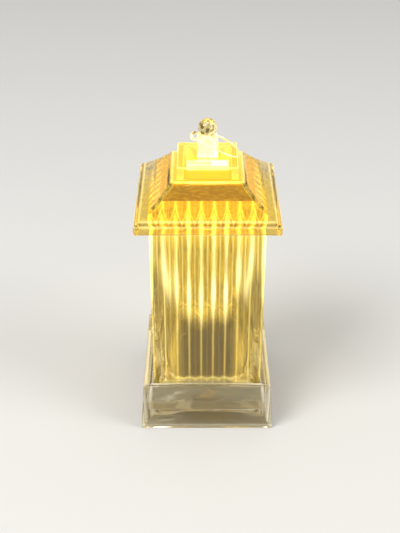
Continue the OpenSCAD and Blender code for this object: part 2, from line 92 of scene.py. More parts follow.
class LanternClear(bpy.types.PropertyGroup):
    """The clear plastic of the base, the body, the roof and the finial. Its amber tints, the dark line in the
    eaves and the dark patches in the ball are painted light and shade from the lamp.
    """

    refraction: amount_property("Refraction", "Index of refraction of the plastic", 1.49)
    gloss: amount_property("Gloss", "Roughness of the polished faces", 0.02, 1.0)
    frost: amount_property("Frost", "How much rougher the duller patches are", 0.05, 1.0)
    wave: length_property("Wave", "Depth of the mould's slight waves", 0.00003)
    edge: length_property("Edge", "Radius of the moulded edges", 0.0003)
    ridge: length_property("Ridge", "Radius of the flutes' ridges", 0.00012)
    base_tint: colour_property("Base tint", "Tint of the base", (0.87, 0.81, 0.63))
    # Painted light: the body's tints turn amber towards the mouth for the lamp's light.
    body_low_lamp_tint: colour_property("Body below", "Tint of the body near its foot", (0.8, 0.72, 0.45))
    body_high_lamp_tint: colour_property("Body above", "Tint of the body near its mouth", (0.88, 0.72, 0.22))
    # Painted light: the roof's amber tint stands for the lamp's light in it.
    roof_lamp_tint: colour_property("Roof tint", "Tint of the roof", (0.86, 0.64, 0.14))
    # Painted shade: the dark line inside the eaves, between two painted bright lines.
    roof_painted_shade_line: colour_property("Roof lines", "Tint of the dark lines inside the eaves", (0.45, 0.3, 0.08))
    finial_tint: colour_property("Finial tint", "Tint of the finial", (0.95, 0.85, 0.45))
    # Painted shade: dark patches painted inside the clear ball.
    finial_painted_shade: colour_property("Finial mottling", "Dark patches inside the ball", (0.3, 0.18, 0.03))


class LanternFlutes(bpy.types.PropertyGroup):
    """The light that the flutes of the body gather."""

    pitch: length_property("Pitch", "Width of one flute", 0.00468)
    chamber: length_property("Chamber", "Half width of the chamber inside the body", 0.0192)
    cream: colour_property("Cream", "Colour of the brightest bars", (1.0, 0.93, 0.45))
    amber: colour_property("Amber", "Colour between the bars", (0.7, 0.46, 0.035))
    olive: colour_property("Olive", "Colour below the bars", (0.2, 0.15, 0.04))
    bar: amount_property("Bars", "Strength of the bars", 1.0)
    fill: amount_property("Fill", "Strength between the bars", 0.5)
    line: amount_property("Lines", "Strength of the lines on the ridges", 0.3)
    bar_width: amount_property("Bar width", "Half width of a bar, as a share of a flute", 0.15, 0.5)
    line_width: amount_property("Line width", "Half width of a ridge's line, as a share of a flute", 0.06, 0.5)
    end_z: length_property("Bars' end", "Height where the middle bars end", 0.053)
    smile: amount_property("Smile", "How fast the bars' ends rise to the sides", 0.055)
    hot_z: length_property("Hottest", "Height above the bars' end where they are hottest", 0.0085)
    window_z: length_property("Window", "Height where the bars under the eaves begin", 0.0885)
    tip_z: length_property("Tips", "Height where the bars under the eaves end", 0.0962)


class LanternModule(bpy.types.PropertyGroup):
    """The light module and what glows in it."""

    # Painted light: this amber colour stands for the lamp's light in the translucent plastic.
    plastic: colour_property("Plastic", "Colour of the translucent plastic", (0.4, 0.29, 0.06))
    glow_top: colour_property("Top glow", "Light of the step and the turret's top", (0.6, 0.37, 0.02))
    glow_side: colour_property("Side glow", "Light of the head's side slopes", (0.95, 0.66, 0.03))
    glow_front: colour_property("Front glow", "Light of the head's front slope", (0.12, 0.078, 0.006))
    glow_low: colour_property("Low glow", "Light of the case inside the body", (0.5, 0.34, 0.03))
    slot_glow: colour_property("Slot glow", "Light that leaves through the slot", (1.0, 0.9, 0.55))
    knob_glow: colour_property("Knob glow", "Light in the switch knob", (0.75, 0.68, 0.4))
    lamp_glow: colour_property("Lamp glow", "Light of the lamp's lens", (1.0, 0.82, 0.45))
    lamp_strength: amount_property("Lamp", "Strength of the lamp", 9.0, 40.0)


class LanternMetal(bpy.types.PropertyGroup):
    """The bare metal pieces."""

    wire: colour_property("Ring wire", "Colour of the hanging ring", (0.95, 0.85, 0.5))
    wire_glow: colour_property("Ring glow", "Light that the ring picks up", (0.6, 0.45, 0.14))
    nickel: colour_property("Nickel", "Colour of the nickel plate", (0.78, 0.77, 0.73))
    steel: colour_property("Steel", "Colour of the plain steel", (0.62, 0.61, 0.59))
    tarnish: colour_property("Tarnish", "Colour of the duller patches", (0.5, 0.46, 0.38))
    solder: colour_property("Solder", "Colour of the solder", (0.72, 0.72, 0.7))


class LanternElectrics(bpy.types.PropertyGroup):
    """The board and what stands on it."""

    mask: colour_property("Board", "Colour of the solder mask", (0.03, 0.2, 0.07))
    copper: colour_property("Tracks", "Colour of the tracks under the mask", (0.05, 0.32, 0.1))
    housing: colour_property("Switch", "Colour of the switch's housing", (0.03, 0.03, 0.03))
    bezel: colour_property("Bezel", "Colour of the lamp's bezel", (0.85, 0.83, 0.77))
    resistor: colour_property("Resistor", "Colour of the resistor", (0.52, 0.36, 0.16))
    red: colour_property("Red wire", "Colour of the red insulation", (0.5, 0.02, 0.01))
    black: colour_property("Black wire", "Colour of the black insulation", (0.02, 0.02, 0.02))


class LanternStage(bpy.types.PropertyGroup):
    """The floor, the light and the camera."""

    floor: colour_property("Floor", "Colour of the floor", (0.74, 0.73, 0.7))
    sky: colour_property("Sky", "Colour of the light from all round", (0.9, 0.9, 0.9))
    sky_strength: amount_property("Sky light", "Strength of the light from all round", 0.6)
    key_watts: amount_property("Key light", "Power of the large soft lamp, in watts", 9.0, 100.0)
    fill_watts: amount_property("Fill light", "Power of the second soft lamp, in watts", 4.0, 100.0)
    distance: length_property("Distance", "Distance from the camera to the lantern", 0.3761)
    pitch: FloatProperty(
        name="Pitch",
        description="Angle of the camera above the horizon",
        default=math.radians(31.62),
        subtype="ANGLE",
    )
    focal: amount_property("Focal length", "Focal length in pixels of the frame", 938.8, 5000.0)


GROUPS = {
    "lantern_clear": LanternClear,
    "lantern_flutes": LanternFlutes,
    "lantern_module": LanternModule,
    "lantern_metal": LanternMetal,
    "lantern_electrics": LanternElectrics,
    "lantern_stage": LanternStage,
}


class Value:
    """A socket of a shader node that Python's arithmetic works on."""

    def __init__(self, finish, socket, vector=False):
        self.finish = finish
        self.socket = socket
        self.vector = vector

    def maths(self, operation, *others):
        """One Math node on this value and others."""
        values = dict(enumerate((self, *others)))
        return self.finish.node("ShaderNodeMath", {"operation": operation}, values)

    def __add__(self, other):
        if self.vector:
            return self.finish.node("ShaderNodeVectorMath", {"operation": "ADD"}, {0: self, 1: other}, vector=True)
        return self.maths("ADD", other)

    __radd__ = __add__

    def __sub__(self, other):
        return self.maths("SUBTRACT", other)

    def __rsub__(self, other):
        return self.finish.node("ShaderNodeMath", {"operation": "SUBTRACT"}, {0: other, 1: self})

    def __mul__(self, other):
        if self.vector:
            scale = {"operation": "SCALE"}
            return self.finish.node("ShaderNodeVectorMath", scale, {0: self, "Scale": other}, vector=True)
        return self.maths("MULTIPLY", other)

    __rmul__ = __mul__

    def __truediv__(self, other):
        return self.maths("DIVIDE", other)

    def __abs__(self):
        return self.maths("ABSOLUTE")

    def largest(self, other):
        """The larger of two values."""
        return self.maths("MAXIMUM", other)

    def above(self, other):
        """1 where this value is above the other, and 0 elsewhere."""
        return self.maths("GREATER_THAN", other)

    def below(self, other):
        """1 where this value is below the other, and 0 elsewhere."""
        return self.maths("LESS_THAN", other)

    def whole(self):
        """The whole number below the value."""
        return self.maths("FLOOR")

    def part(self):
        """What is left over the whole number below the value."""
        return self.maths("FRACT")

    def bell(self, width):
        """1 where the value is 0, falling off smoothly on both sides."""
        share = self / width
        return (share * share * -1.0).maths("EXPONENT")

    def rise(self, low, high):
        """0 up to low, 1 from high on, and smooth between them."""
        return self.finish.node(
            "ShaderNodeMapRange",
            {"interpolation_type": "SMOOTHSTEP"},
            {"Value": self, "From Min": low, "From Max": high},
        )


class Finish:
    """A material, whose nodes are made by one method."""

    def __init__(self, name, **constants):
        self.material = bpy.data.materials.new(name)
        self.material.use_nodes = True
        self.tree = self.material.node_tree
        self.shader = self.tree.nodes["Principled BSDF"]
        for key, value in constants.items():
            self.shader.inputs[key.replace("_", " ")].default_value = value

    def node(self, kind, settings=None, inputs=None, output=0, vector=False):
        """Makes a node, sets what it is told and returns one of its outputs."""
        made = self.tree.nodes.new(kind)
        for key, value in (settings or {}).items():
            setattr(made, key, value)
        for key, value in (inputs or {}).items():
            if isinstance(value, Value):
                self.tree.links.new(value.socket, made.inputs[key])
            else:
                made.inputs[key].default_value = value
        return Value(self, made.outputs[output], vector)

    def place(self):
        """Place of the shaded point in the lantern's frame, as three values in millimetres."""
        point = self.node("ShaderNodeTexCoord", output="Object", vector=True)
        return [self.node("ShaderNodeSeparateXYZ", None, {0: point * MM}, axis) for axis in "XYZ"]

    def point(self, x, y, z):
        """A vector from three values."""
        return self.node("ShaderNodeCombineXYZ", None, {0: x, 1: y, 2: z}, vector=True)

    def noise(self, where, scale, detail=2.0):
        """Soft noise from 0 to 1."""
        return self.node("ShaderNodeTexNoise", None, {"Vector": where, "Scale": scale, "Detail": detail})

    def speck(self, number):
        """A random value from 0 to 1 for each number."""
        return self.node("ShaderNodeTexWhiteNoise", {"noise_dimensions": "1D"}, {"W": number})

    def mix(self, factor, first, second):
        """The first colour where factor is 0 and the second where it is 1."""
        colours = [c if isinstance(c, Value) else (*c, 1.0) for c in (first, second)]
        values = {0: factor, 6: colours[0], 7: colours[1]}
        return self.node("ShaderNodeMix", {"data_type": "RGBA"}, values, 2, vector=True)

    def light(self, colour, amount):
        """A colour times an amount that varies."""
        values = {0: tuple(colour), "Scale": amount}
        return self.node("ShaderNodeVectorMath", {"operation": "SCALE"}, values, vector=True)

    def feed(self, **links):
        """Links values to the shader's own sockets."""
        for key, value in links.items():
            self.tree.links.new(value.socket, self.shader.inputs[key.replace("_", " ")])
        return self.material

    def bump(self, height, depth):
        """A normal that follows a height, where a height of 1 stands proud by depth metres."""
        return self.node("ShaderNodeBump", None, {"Strength": 1.0, "Distance": depth, "Height": height})


def clear_finish(name, look, **constants):
    """Clear polished plastic that other values may tint and light."""
    settings = {
        "Transmission_Weight": 1.0,
        "IOR": look.refraction,
        "Emission_Strength": 1.0,
        "Roughness": look.gloss,
        **constants,
    }
    return Finish(name, **settings)


def mould_marks(finish, look, where):
    """Feeds the slight waves and duller patches of moulded clear plastic."""
    patch_scale = 0.16
    wave_scale = 0.22
    patches = finish.noise(where, patch_scale).rise(0.45, 0.8)
    waves = finish.noise(where, wave_scale, 1.0)
    finish.feed(Roughness=patches * look.frost + look.gloss, Normal=finish.bump(waves, look.wave))


def side_place(x, y):
    """1 on the left and right sides, and the place along whichever side it is."""
    on_side = abs(x).above(abs(y))
    return on_side, x + (y - x) * on_side


def base_plastic(look):
    """Clear plastic of the base. It has the body's light painted warm on its rim and wings, a painted reflection,
    a painted highlight along its foot, and a darker amber tint painted where that light falls.
    """
    finish = clear_finish("clear_base_plastic", look)
    x, y, z = finish.place()
    where = finish.point(x, y, z)
    rim_z = top_of("base_tray")
    band_z = 1.7
    line = 0.35
    out = abs(x).largest(abs(y))
    sides = abs(x).above(abs(y))
    rim = (z - rim_z).bell(line * 2.5)
    wing = sides * z.rise(band_z, rim_z) * out.rise(24.0, 24.6)
    # Painted highlight: a thin white line of light along the foot's outer edge.
    foot = (z - band_z).bell(line) * out.above(25.4)
    reflected = finish.noise(finish.point(x * 0.3, y * 0.3, z * 2.0), 0.5).rise(0.45, 0.75)
    warm = rim * (sides * 0.25 + 0.05) + wing * 0.08 + reflected * 0.03
    light = finish.light((0.7, 0.5, 0.12), warm) + finish.light((0.9, 0.88, 0.8), foot * 0.25)
    # Painted light: the tint turns darker amber on the rim and in the painted reflection.
    tint = finish.mix(rim * 0.3 + reflected * 0.25, look.base_tint, (0.7, 0.6, 0.36))
    mould_marks(finish, look, where)
    return finish.feed(Base_Color=tint, Emission_Color=light)


def fluted_plastic(look, flutes):
    """Clear plastic of the body with the lamp's light painted in bars along its flutes. It also has painted glints
    on its ridges, corners, fillet and sides, painted shade between the bars, and an amber tint painted towards the
    mouth.
    """
    finish = clear_finish("clear_body_plastic", look)
    x, y, z = finish.place()
    where = finish.point(x, y, z)
    out = abs(x).largest(abs(y))
    chamber = flutes.chamber * MM
    shoulder = (z - 94.3).largest(0.0) * 1.25 + out
    outside = shoulder.rise(chamber + 0.4, chamber + 0.8)
    outside = outside * (1.0 - finish.node("ShaderNodeNewGeometry", output="Backfacing"))
    on_side, along = side_place(x, y)
    share = along / (flutes.pitch * MM)
    number = share.whole() + on_side * 20.0 + (x + y).above(0.0) * 50.0
    chance = finish.speck(number)
    off_bar = abs(share.part() - 0.5)
    off_ridge = 0.5 - off_bar
    edge_zone = abs(along).rise(9.0, 11.0)

    # Painted light and shade from the lamp: every mark from here to the emission (bars, streaks, hottest band,
    # tails, ridge lines, tips, and glints at the corners, fillet, column and sides) is painted light, and the
    # olive below the bars is a dim painted glow.
    streak_at = finish.point(along * 1.6 + number * 3.0, z * 0.09, on_side * 9.0)
    streak = finish.noise(streak_at, 1.0).rise(0.3, 0.7)
    end = along * along * flutes.smile + (chance - 0.5) * 7.0 + flutes.end_z * MM
    above_end = (z - end).rise(-7.0, 5.0)
    hot = (z - end - flutes.hot_z * MM).bell(7.5)
    high = z.rise(80.0, 90.0)
    window = z.rise(flutes.window_z * MM - 1.5, flutes.window_z * MM)
    window_top = 1.0 - z.rise(flutes.tip_z * MM - 2.0, flutes.tip_z * MM)

    bar = off_bar.bell(flutes.bar_width + edge_zone * 0.04)
    thin = off_bar.bell(flutes.bar_width * 0.5)
    line = off_ridge.bell(flutes.line_width)
    upper = above_end * (streak * 0.35 + 0.35 + chance * 0.3)
    side_dim = 1.0 - edge_zone * 0.35
    under_eaves = bar * window * window_top * (1.0 - edge_zone * 0.7)
    bars = bar * (upper * 0.8 + hot * 1.2 + high * 0.3) * side_dim + under_eaves * 2.6
    tail = thin * z.rise(18.0, 26.0) * (1.0 - above_end) * 0.5
    tip_half = 0.5 - z.rise(91.5, 99.0) * 0.5
    tips = (off_bar - tip_half).bell(0.05) * z.rise(91.0, 93.0)
    ridges = line * (above_end * 0.8 + 0.22) * z.rise(19.0, 23.0)
    corner = (out * 2.0 - abs(x) - abs(y)).bell(0.55) * z.rise(48.0, 66.0)
    fillet = (z - 21.5).bell(0.8) * (1.0 - abs(along).rise(11.0, 14.0))
    column = (abs(along) - 13.5).bell(1.5) * (z - 33.0).bell(10.0)

    side_spot = edge_zone * (z - 66.0).bell(7.0) * (along * 0.42).maths("SINE").bell(0.5) * 0.6
    corner_fill = out.above(20.0) * edge_zone * (1.0 - above_end) * z.rise(12.0, 20.0) * (streak * 0.2 + 0.14)
    cream = bars * flutes.bar + tail * 0.2 + ridges * flutes.line + corner * 0.3 + fillet * 0.2 + tips
    cream = cream + side_spot
    amber = above_end * (flutes.fill + streak * 0.35) + column * 0.4 + fillet * 0.4 + high * 0.3 + tail
    amber = amber + corner_fill
    shade = finish.light(flutes.olive, (1.0 - above_end) * 0.35)
    light = finish.light(flutes.cream, cream * outside) + finish.light(flutes.amber, amber * outside)
    # Painted shade: the gaps between the bars are painted a darker amber.
    shaded_gaps = 1.0 - off_bar.bell(0.2)
    # Painted light: the tint turns amber towards the mouth, where the lamp's light is strongest.
    tint = finish.mix(z.rise(40.0, 72.0), look.body_low_lamp_tint, look.body_high_lamp_tint)
    tint = finish.mix(shaded_gaps * (streak * 0.4 + 0.35) * out.above(19.6), tint, (0.55, 0.38, 0.06))
    mould_marks(finish, look, where)
    return finish.feed(Base_Color=tint, Emission_Color=light + shade * outside)


def roof_plastic(look, flutes):
    """Clear plastic of the roof, painted with the lamp's light and shade. Inside its eaves is a double outline of
    painted bright lines with a painted shade line between them. Its slopes, block, step and slot are painted
    glowing, and its slopes carry a darker painted shade.
    """
    finish = clear_finish("clear_roof_plastic", look)
    x, y, z = finish.place()
    where = finish.point(x, y, z)
    half = half_of("roof_cover")
    eaves_z = foot_of("roof_cover")
    fascia_top = eaves_z + 3.0
    block_half = 11.25
    out = abs(x).largest(abs(y))
    # Painted light and shade: two bright lines (rim, inner) with a shade line (dark) between them, inside the
    # eaves.
    rim = (out - half).bell(0.5)
    dark = (out - half + 1.25).bell(0.5)
    inner = (out - half + 2.1).bell(0.4)
    band = (1.0 - z.rise(fascia_top - 0.2, fascia_top + 0.2))
    # Painted light and shade: a mottle that varies the painted glow and the darker painted shade on the slopes and
    # the fascia.
    light_mottle = finish.noise(finish.point(x * 0.8, y * 0.8, z * 2.2), 0.6, 3.0).rise(0.4, 0.7)
    slope = (1.0 - out.rise(25.0, 26.4)) * out.rise(13.6, 15.0)
    outside = 1.0 - finish.node("ShaderNodeNewGeometry", output="Backfacing")
    block_top = z.rise(109.9, 110.2)
    block_side = out.rise(block_half - 0.5, block_half - 0.2) * z.rise(105.2, 105.8)
    block = block_side * (z - top_of("roof_cover")).bell(0.35)
    step = (out - 13.2).bell(0.4) * (z - 105.8).bell(0.5)
    foot = (z - eaves_z).bell(0.3)
    cream = (rim * 0.5 + inner * 0.4) * (1.0 - band) + block * 0.5 + step * 0.4 + foot * 0.25
    amber = slope * (light_mottle * 0.3 + 0.15) + band * (light_mottle * 0.2 + 0.1)
    lit = block_top.largest(block_side) * 0.8
    slot = abs(x).below(7.8) * abs(y + 7.5).below(2.4) * z.above(109.0)
    light = finish.light(flutes.cream, cream * outside + slot * 0.9)
    light = light + finish.light(flutes.amber, amber * outside + lit)
    # Painted shade: the slopes are tinted a darker amber.
    tint = finish.mix(slope * (light_mottle * 0.6 + 0.3), look.roof_lamp_tint, (0.68, 0.44, 0.05))
    tint = finish.mix(lit, tint, (0.5, 0.36, 0.1))
    # Painted shade: the dark line inside the eaves, and a dark mottle on the fascia.
    tint = finish.mix(dark * 0.9 + band * light_mottle * 0.35, tint, look.roof_painted_shade_line)
    mould_marks(finish, look, where)
    return finish.feed(Base_Color=tint, Emission_Color=light)


def finial_plastic(look, flutes):
    """Clear plastic of the finial: a neck painted glowing, and a ball painted glowing with patches of painted
    shade in it.
    """
    finish = clear_finish("clear_finial_plastic", look)
    x, y, z = finish.place()
    where = finish.point(x, y, z)
    neck_top = top_of("finial") - 6.0
    neck = 1.0 - z.rise(neck_top - 1.0, neck_top + 0.8)
    # Painted shade: the patches get a dark tint and no glow, while the neck and the rest of the ball are painted
    # glowing.
    patches = finish.noise(finish.point(x, y, z), 0.75, 3.0).rise(0.46, 0.58)
    ball = 1.0 - neck
    glow = neck * 0.5 + ball * (1.0 - patches) * 0.3
    tint = finish.mix(patches * ball, look.finial_tint, look.finial_painted_shade)
    mould_marks(finish, look, where)
    return finish.feed(Base_Color=tint, Emission_Color=finish.light(flutes.cream, glow))


def module_plastic(name, module):
    """Translucent plastic of the light module, glowing as the lamp behind it does."""
    finish = Finish(name, Roughness=0.45, IOR=1.46, Emission_Strength=1.0)
    x, y, z = finish.place()
    where = finish.point(x, y, z)
    mouth_z = top_of("fluted_body")
    step_z = 103.8
    turret_z = top_of("module_case")
    out = abs(x).largest(abs(y))
    on_side = abs(x).above(abs(y)).largest(y.above(0.0))
    grain = finish.noise(where, 1.4, 4.0)
    cloud = finish.noise(where, 0.18, 2.0)
    head = z.rise(mouth_z - 0.2, mouth_z + 0.4)
    flat = z.rise(step_z - 0.35, step_z - 0.1)
    slope = finish.mix(on_side, module.glow_front, module.glow_side)
    plate = abs(x).rise(7.6, 8.2) * -1.0 + 1.0
    board = plate * y.below(-10.0) * z.rise(105.6, 106.0) * (1.0 - z.rise(108.6, 108.9))
    light = finish.mix(head, module.glow_low, slope)
    light = finish.mix(flat, light, module.glow_top)
    light = finish.mix(board * 0.75, light, module.glow_side)
    slot = z.rise(turret_z - 0.6, turret_z - 0.3) * abs(x).below(7.7) * y.below(-5.0)
    light = finish.mix(slot, light, module.slot_glow)
    light = light * (grain * 0.1 + cloud * 0.2 + 0.85)
    # Painted light: the case's amber base colour stands for the lamp's light, with a grain of uneven tone over it.
    base = finish.mix(grain.rise(0.35, 0.75) * 0.4, module.plastic, (0.5, 0.32, 0.06))
    rough = grain * 0.2 + 0.35
    # Painted highlight: the glow is a fifth stronger at the case's outer edges.
    edge = out.rise(half_of("module_case") - 0.4, half_of("module_case"))
    return finish.feed(
        Base_Color=base,
        Emission_Color=light * (edge * 0.2 + 1.0),
        Roughness=rough,
        Normal=finish.bump(grain, 0.00002),
    )


def knob_plastic(module):
    """Ivory plastic of the switch knob, lit from below."""
    finish = Finish("knob_plastic", Emission_Strength=1.0)
    x, y, z = finish.place()
    grain = finish.noise(finish.point(x, y, z), 2.5, 3.0)
    top = top_of("switch_knob")
    lit = 1.0 - z.rise(top - 0.4, top) * 0.25
    return finish.feed(
        Base_Color=finish.mix(grain, (0.86, 0.8, 0.6), (0.78, 0.7, 0.48)),
        Emission_Color=finish.light(module.knob_glow, lit * (grain * 0.2 + 0.9)),
        Roughness=grain * 0.2 + 0.3,
        Normal=finish.bump(grain, 0.00001),
    )


def lens_plastic(module):
    """Epoxy lens of the lamp, hottest round its chip."""
    finish = Finish("lamp_lens", Roughness=0.15, Emission_Strength=module.lamp_strength)
    x, y, z = finish.place()
    low = foot_of("lamp")
    hot = (z - low - 3.0).bell(4.0)
    swirl = finish.noise(finish.point(x, y, z), 0.8, 1.0)
    return finish.feed(
        Base_Color=finish.mix(swirl, (0.95, 0.85, 0.55), (0.98, 0.92, 0.72)),
        Emission_Color=finish.light(module.lamp_glow, hot * 0.7 + swirl * 0.2 + 0.1),
    )


def metal(name, colour, tarnish, roughness, glow=None, scratches=1.5):
    """Bare or plated metal with fine scratches and duller patches, and a painted glow of picked-up light where a
    glow colour is given.
    """
    finish = Finish(name, Metallic=1.0, Emission_Strength=1.0)
    x, y, z = finish.place()
    where = finish.point(x, y, z)
    patches = finish.noise(where, 0.5, 3.0).rise(0.5, 0.8)
    scratch = finish.noise(finish.point(x * 0.6, y * 6.0, z * 6.0), scratches, 2.0)
    made = finish.feed(
        Base_Color=finish.mix(patches * 0.6, colour, tarnish),
        Roughness=scratch * 0.15 + patches * 0.15 + roughness,
        Normal=finish.bump(scratch, 0.000004),
    )
    if glow is not None:
        finish.feed(Emission_Color=finish.light(glow, patches * -0.3 + 1.0))
    return made


def cell_metal(colours):
    """Nickel plate of a button cell, turned faces and the dark seal between can and cap."""
    finish = Finish("button_cell_nickel", Metallic=1.0)
    x, y, z = finish.place()
    low, high = BOX["button_cell_1"]
    middle_y = (low.y + high.y) / 2 * MM
    middle_z = (low.z + high.z) / 2 * MM
    across = y - middle_y
    up = z - middle_z
    radius = (across * across + up * up).maths("SQRT")
    rings = finish.noise(finish.point(radius * 3.0, 0.0, x * 0.2), 2.0, 2.0)
    seal = (radius - 4.9).bell(0.18)
    return finish.feed(
        Base_Color=finish.mix(seal, colours.nickel, (0.05, 0.05, 0.045)),
        Roughness=rings * 0.2 + 0.18,
        Normal=finish.bump(rings, 0.000006),
    )


def plain_plastic(name, colour, shade, roughness, grain_scale=2.0, depth=0.000008):
    """Moulded plastic with a fine grain and slightly uneven colour."""
    finish = Finish(name)
    x, y, z = finish.place()
    grain = finish.noise(finish.point(x, y, z), grain_scale, 4.0)
    return finish.feed(
        Base_Color=finish.mix(grain.rise(0.35, 0.7), colour, [part * shade for part in colour]),
        Roughness=grain * 0.2 + roughness,
        Normal=finish.bump(grain, depth),
    )


def housing_plastic(colours, module):
    """Plastic of the slide switch, with the light that shows through its channel."""
    finish = Finish("switch_housing_plastic", Emission_Strength=1.0)
    x, y, z = finish.place()
    grain = finish.noise(finish.point(x, y, z), 2.0, 3.0)
    top = top_of("switch_body")
    return finish.feed(
        # Painted light: the top of the housing is painted pale and glowing where the light shows through the
        # channel.
        Base_Color=finish.mix(z.rise(top - 3.2, top - 2.0), colours.housing, (0.8, 0.7, 0.4)),
        Emission_Color=finish.light(module.slot_glow, z.rise(top - 3.4, top - 1.0)),
        Roughness=grain * 0.2 + 0.4,
    )


def board_mask(colours):
    """Green solder mask with tracks showing through it."""
    finish = Finish("board_mask", Coat_Weight=0.4)
    x, y, z = finish.place()
    track = abs((x / 2.4).part() - 0.5).below(0.16)
    run = abs((y / 5.0).part() - 0.5).below(0.4)
    weave = finish.noise(finish.point(x * 3.0, y * 3.0, z), 1.5, 2.0)
    return finish.feed(
        Base_Color=finish.mix(track * run, colours.mask, colours.copper),
        Roughness=weave * 0.15 + 0.3,
        Normal=finish.bump(track * run * 0.6 + weave * 0.2, 0.00003),
    )


def resistor_paint(colours):
    """Lacquer of the resistor with its coloured bands."""
    finish = Finish("resistor_lacquer")
    x, y, z = finish.place()
    low, high = BOX["resistor"]
    middle = (low.y + high.y) / 2 * MM
    bands = {-1.1: (0.3, 0.02, 0.01), -0.45: (0.25, 0.05, 0.3), 0.2: (0.12, 0.05, 0.02), 1.1: (0.6, 0.4, 0.05)}
    colour = finish.mix(finish.noise(finish.point(x, y, z), 3.0), colours.resistor, (0.42, 0.28, 0.12))
    for place, paint in bands.items():
        colour = finish.mix((y - middle - place).bell(0.14), colour, paint)
    return finish.feed(Base_Color=colour, Roughness=finish.noise(finish.point(x, y, z), 5.0) * 0.2 + 0.3)


def floor_finish(look):
    """Plain pale floor."""
    finish = Finish("pale_floor")
    x, y, z = finish.place()
    cloud = finish.noise(finish.point(x * 0.01, y * 0.01, z), 1.0, 2.0)
    darker = [part * 0.97 for part in look.floor]
    return finish.feed(Base_Color=finish.mix(cloud, look.floor, darker), Roughness=cloud * 0.1 + 0.75)


def link(name, mesh):
    """A new object with that mesh in the scene."""
    made = bpy.data.objects.new(name, mesh)
    bpy.context.scene.collection.objects.link(made)
    return made


def dress(piece, material):
    """Gives a piece its one material."""
    piece.data.materials.clear()
    piece.data.materials.append(material)
    return piece


def runs_askew(edge):
    """True for the hips, which run neither along a side nor upright."""
    most = 0.2
    way = (edge.verts[1].co - edge.verts[0].co).normalized()
    return abs(way.x) > most and abs(way.y) > most


def rounded(node, name, radius, body, least_length=0.0):
    """A copy of a CAD node's solid with its sharp edges rounded, riding where the node does.

    Flat faces are joined before the rounding, but not across x = 0, so that no joined face has a hole.
    """
    weld = 0.000002
    flat = math.radians(0.5)
    sharp = math.radians(28)
    smooth = math.radians(32)
    segments = 2
    most_corners = 8
    solid = bmesh.new()
    solid.from_mesh(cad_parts[node].data)
    bmesh.ops.remove_doubles(solid, verts=solid.verts, dist=weld)
    parts = solid.verts[:] + solid.edges[:] + solid.faces[:]
    halves = bmesh.ops.bisect_plane(solid, geom=parts, dist=weld, plane_co=(0, 0, 0), plane_no=(1, 0, 0))
    for part in halves["geom_cut"]:
        if isinstance(part, bmesh.types.BMEdge):
            part.seam = True
    bmesh.ops.dissolve_limit(
        solid, angle_limit=flat, verts=solid.verts, edges=solid.edges, delimit={"SEAM"}
    )
    bmesh.ops.triangulate(solid, faces=[face for face in solid.faces if len(face.verts) > most_corners])
    edges = [
        edge
        for edge in solid.edges
        if edge.is_manifold and edge.calc_face_angle(0.0) > sharp and edge.calc_length() > least_length
        and not runs_askew(edge)
    ]
    if radius > 0.0 and edges:
        bmesh.ops.bevel(
            solid,
            geom=edges,
            offset=radius,
            offset_type="OFFSET",
            segments=segments,
            profile=0.5,
            affect="EDGES",
            clamp_overlap=True,
        )
    bmesh.ops.dissolve_degenerate(solid, dist=weld, edges=solid.edges)
    bmesh.ops.triangulate(solid, faces=[face for face in solid.faces if len(face.verts) > 4])
    mesh = bpy.data.meshes.new(name)
    solid.to_mesh(mesh)
    solid.free()
    mesh.polygons.foreach_set("use_smooth", [True] * len(mesh.polygons))
    mesh.set_sharp_from_angle(angle=smooth)
    piece = link(name, mesh)
    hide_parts(node)
    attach(piece, body)
    return piece


def lathe(profile, middle, steps, solid):
    """Adds a turned solid about a vertical line to a bmesh."""
    rings = []
    for radius, height in profile:
        turn = [2 * math.pi * step / steps for step in range(steps)]
        rings.append([solid.verts.new(middle + Vector((radius * math.cos(a), radius * math.sin(a), height)))
                      for a in turn])
    for low, high in zip(rings, rings[1:]):
        for step in range(steps):
            after = (step + 1) % steps
            solid.faces.new((low[step], low[after], high[after], high[step]))
    solid.faces.new(reversed(rings[0]))
    solid.faces.new(rings[-1])


class LANTERN_OT_base(bpy.types.Operator):
    """Dress the clear base tray"""

    bl_idname = "lantern.base"
    bl_label = "Base tray"

    def execute(self, context):
        look = context.scene.lantern_clear
        piece = rounded("base_tray", "base_tray_moulding", look.edge, "stand")
        dress(piece, base_plastic(look))
        return {"FINISHED"}


class LANTERN_OT_body(bpy.types.Operator):
    """Dress the fluted body and the light in its flutes"""

    bl_idname = "lantern.body"
    bl_label = "Fluted body"

    def execute(self, context):
        look = context.scene.lantern_clear
        piece = rounded("fluted_body", "fluted_body_moulding", look.ridge, "stand", 0.002)
        dress(piece, fluted_plastic(look, context.scene.lantern_flutes))
        return {"FINISHED"}


class LANTERN_OT_roof(bpy.types.Operator):
    """Dress the roof and the finial"""

    bl_idname = "lantern.roof"
    bl_label = "Roof and finial"

    def execute(self, context):
        look = context.scene.lantern_clear
        flutes = context.scene.lantern_flutes
        roof = rounded("roof_cover", "roof_cover_moulding", look.edge, "top", 0.001)
        dress(roof, roof_plastic(look, flutes))
        finial = rounded("finial", "finial_moulding", 0.0, "top")
        dress(finial, finial_plastic(look, flutes))
        return {"FINISHED"}


class LANTERN_OT_ring(bpy.types.Operator):
    """Dress the hanging ring"""

    bl_idname = "lantern.ring"
    bl_label = "Hanging ring"

    def execute(self, context):
        colours = context.scene.lantern_metal
        ring = rounded("hanging_ring", "hanging_ring_wire", 0.0, "ring")
        dress(ring, metal("ring_wire_plate", colours.wire, colours.tarnish, 0.12, colours.wire_glow))
        return {"FINISHED"}


